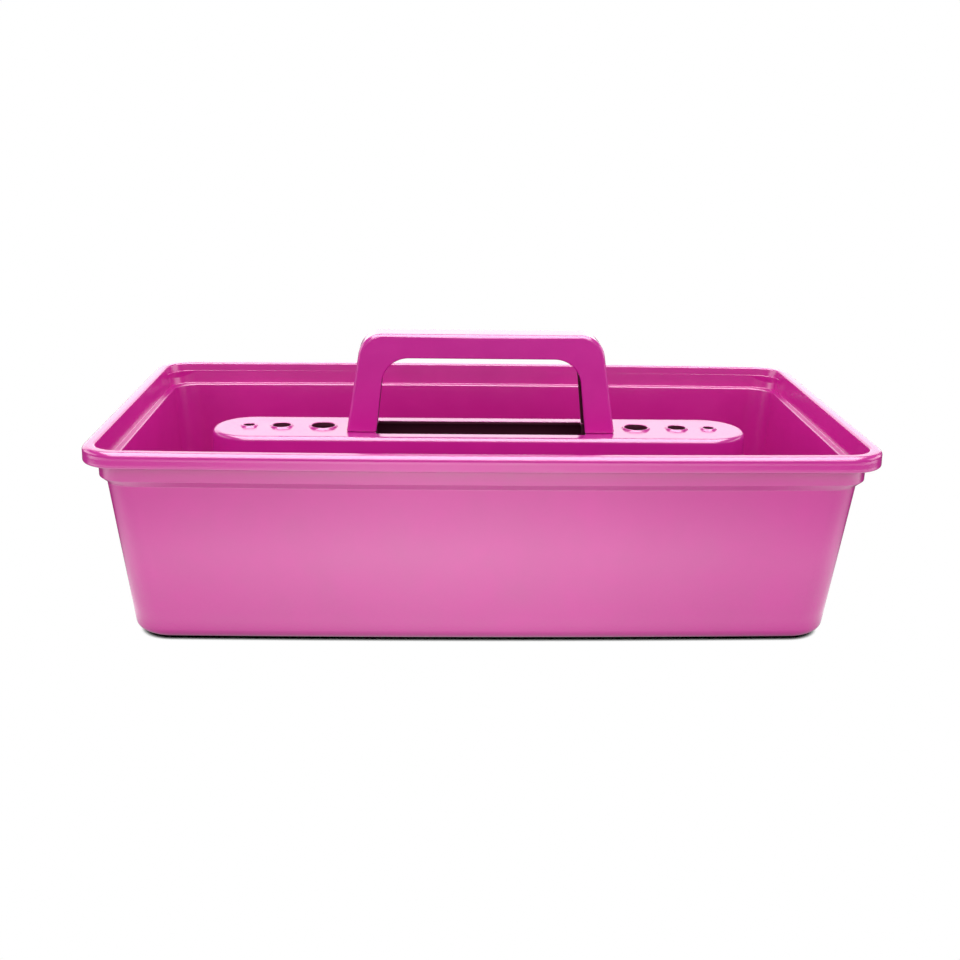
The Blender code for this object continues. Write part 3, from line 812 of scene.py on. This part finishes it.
def paper(name):
    """White studio paper. From above the camera sees it white, with a painted contact shadow as a dark line
    at the object and painted shade under the base; in reflections it is a painted pool of light in front of
    the object; from below it is clear.
    """
    nodes = Nodes(name)
    tree = nodes.tree
    tree.nodes.remove(nodes.shader)
    place = nodes.add("ShaderNodeTexCoord").outputs["Object"]
    rays = nodes.add("ShaderNodeLightPath")

    # Distance out from the middle of the object's base: the paper under it gives hardly any light.
    beyond = nodes.vector_math("ABSOLUTE", place)
    beyond = nodes.vector_math("SUBTRACT", beyond, FOOTPRINT)
    beyond = nodes.vector_math("MAXIMUM", beyond, (0, 0, 0))
    distance = nodes.add("ShaderNodeVectorMath", {0: beyond}, operation="LENGTH").outputs["Value"]
    uncovered = nodes.spread(distance, COVERED, UNCOVERED)

    # In reflections the paper in front of the object glows, most at its middle.
    reach = nodes.spread(distance, 0.0, GLOW_PROFILE[-1][0])
    ramp = nodes.add("ShaderNodeValToRGB", {"Fac": reach})
    stops = ramp.color_ramp.elements
    while len(stops) < len(GLOW_PROFILE):
        stops.new(0.5)
    for stop, (out, level) in zip(stops, GLOW_PROFILE):
        stop.position = out / GLOW_PROFILE[-1][0]
        stop.color = (level, level, level, 1)
    parts = nodes.add("ShaderNodeSeparateXYZ", {0: place}).outputs
    ahead = nodes.spread(parts["Y"], GLOW_SIDE, GLOW_FRONT)
    sideways = nodes.math("ABSOLUTE", nodes.math("SUBTRACT", parts["X"], GLOW_MIDDLE), 0.0)
    falloff = {"Value": sideways, "From Max": GLOW_HALF_WIDTH, "To Min": 1.0, "To Max": GLOW_EDGE}
    across = nodes.add("ShaderNodeMapRange", falloff, interpolation_type="SMOOTHSTEP").outputs["Result"]
    glow = nodes.math("MULTIPLY", nodes.math("MULTIPLY", ramp.outputs["Color"], across), ahead)
    glossy = nodes.math("MULTIPLY", nodes.spread(glow, 0.0, 1.0, PAPER_DULL, PAPER_GLOSSY), uncovered)

    diffuse = nodes.spread(uncovered, 0.0, 1.0, PAPER_UNDER, PAPER_DIFFUSE)
    indirect = nodes.mix_values(rays.outputs["Is Glossy Ray"], diffuse, glossy)
    # Painted contact shadow: the paper that the camera sees darkens where it is occluded near the object, and
    # under the base it is painted shade.
    near = nodes.add("ShaderNodeAmbientOcclusion", {"Distance": CONTACT_REACH},
                     samples=CONTACT_SAMPLES).outputs["AO"]
    white = nodes.math("MULTIPLY", nodes.spread(near, CONTACT_DARK, CONTACT_LIGHT),
                       nodes.spread(distance, 0.0, UNDER_BLEND, PAPER_UNDER, 1.0))
    strength = nodes.mix_values(rays.outputs["Is Camera Ray"], indirect, white)
    seen = nodes.add("ShaderNodeEmission", {"Strength": strength})
    clear = nodes.add("ShaderNodeBsdfTransparent")
    underneath = nodes.add("ShaderNodeNewGeometry").outputs["Backfacing"]
    shown = nodes.add("ShaderNodeMixShader", {0: underneath, 1: seen.outputs[0], 2: clear.outputs[0]})
    tree.links.new(shown.outputs[0], tree.nodes["Material Output"].inputs["Surface"])
    return nodes.material


# ---------------------------------------------------------------- studio

def make_floor():
    bm = bmesh.new()
    bmesh.ops.create_grid(bm, x_segments=8, y_segments=8, size=PAPER_HALF_SIZE)
    floor = add_object("floor", bm)
    floor.location.z = -FLOOR_GAP
    floor.data.materials.append(paper("studio_paper"))


def panel(name, place, target, width, height, radiance, reflected):
    """A soft rectangular light of even radiance, for reflections alone or for diffuse surfaces alone."""
    data = bpy.data.lights.new(name, "AREA")
    data.shape = "RECTANGLE"
    data.size = width
    data.size_y = height
    data.energy = radiance * math.pi * width * height
    item = bpy.data.objects.new(name, data)
    item.location = place
    item.rotation_euler = (Vector(target) - Vector(place)).to_track_quat("-Z", "Y").to_euler()
    item.visible_camera = False
    item.visible_diffuse = not reflected
    item.visible_glossy = reflected
    bpy.context.scene.collection.objects.link(item)


def make_world():
    """A white background that lights diffuse surfaces and reflections by shares of their own."""
    world = bpy.data.worlds.new("white_room")
    world.use_nodes = True
    tree = world.node_tree
    background = tree.nodes["Background"]
    rays = tree.nodes.new("ShaderNodeLightPath")
    diffuse = tree.nodes.new("ShaderNodeMapRange")
    diffuse.inputs["To Min"].default_value = 1.0
    diffuse.inputs["To Max"].default_value = ROOM_DIFFUSE
    tree.links.new(rays.outputs["Is Diffuse Ray"], diffuse.inputs["Value"])
    strength = tree.nodes.new("ShaderNodeMapRange")
    strength.inputs["To Max"].default_value = ROOM_GLOSSY
    tree.links.new(diffuse.outputs["Result"], strength.inputs["To Min"])
    tree.links.new(rays.outputs["Is Glossy Ray"], strength.inputs["Value"])
    background.inputs["Color"].default_value = (1, 1, 1, 1)
    tree.links.new(strength.outputs["Result"], background.inputs["Strength"])
    bpy.context.scene.world = world


def make_lights():
    make_world()
    for values in PANELS:
        panel(*values)


def make_camera():
    data = bpy.data.cameras.new("camera")
    data.lens = CAMERA_LENS
    data.sensor_width = CAMERA_SENSOR
    data.clip_start = CAMERA_NEAREST
    camera = bpy.data.objects.new("camera", data)
    forward = Vector((math.sin(CAMERA_YAW) * math.cos(CAMERA_PITCH),
                      math.cos(CAMERA_YAW) * math.cos(CAMERA_PITCH), -math.sin(CAMERA_PITCH)))
    level = Vector((math.cos(CAMERA_YAW), -math.sin(CAMERA_YAW), 0))
    plumb = forward.cross(level)
    right = level * math.cos(CAMERA_ROLL) + plumb * math.sin(CAMERA_ROLL)
    down = plumb * math.cos(CAMERA_ROLL) - level * math.sin(CAMERA_ROLL)
    axes = Matrix((right, -down, -forward)).transposed()
    camera.matrix_world = Matrix.LocRotScale(Vector(CAMERA_PLACE), axes.to_quaternion(), None)
    bpy.context.scene.collection.objects.link(camera)
    bpy.context.scene.camera = camera


def main():
    make_tray(moulded_plastic("tray_plastic", 3.1, PINK, *GLOSS))
    # The rack's and the handle's second plastics are painted shade: dark copies of the pink for their hollow,
    # slot walls and channel.
    make_rack(moulded_plastic("rack_plastic", 7.7, RACK_PINK, *GLOSS),
              moulded_plastic("rack_painted_shade", 9.1, PAINTED_SHADE_PINK, *DULL))
    make_handle(moulded_plastic("handle_plastic", 5.3, RACK_PINK, *GLOSS),
                moulded_plastic("handle_painted_shade", 6.7, PAINTED_SHADE_PINK, *DULL))
    make_feet(soft_rubber("foot_pad"))
    make_floor()
    make_lights()
    make_camera()
    bpy.context.scene.view_settings.view_transform = "Standard"


main()
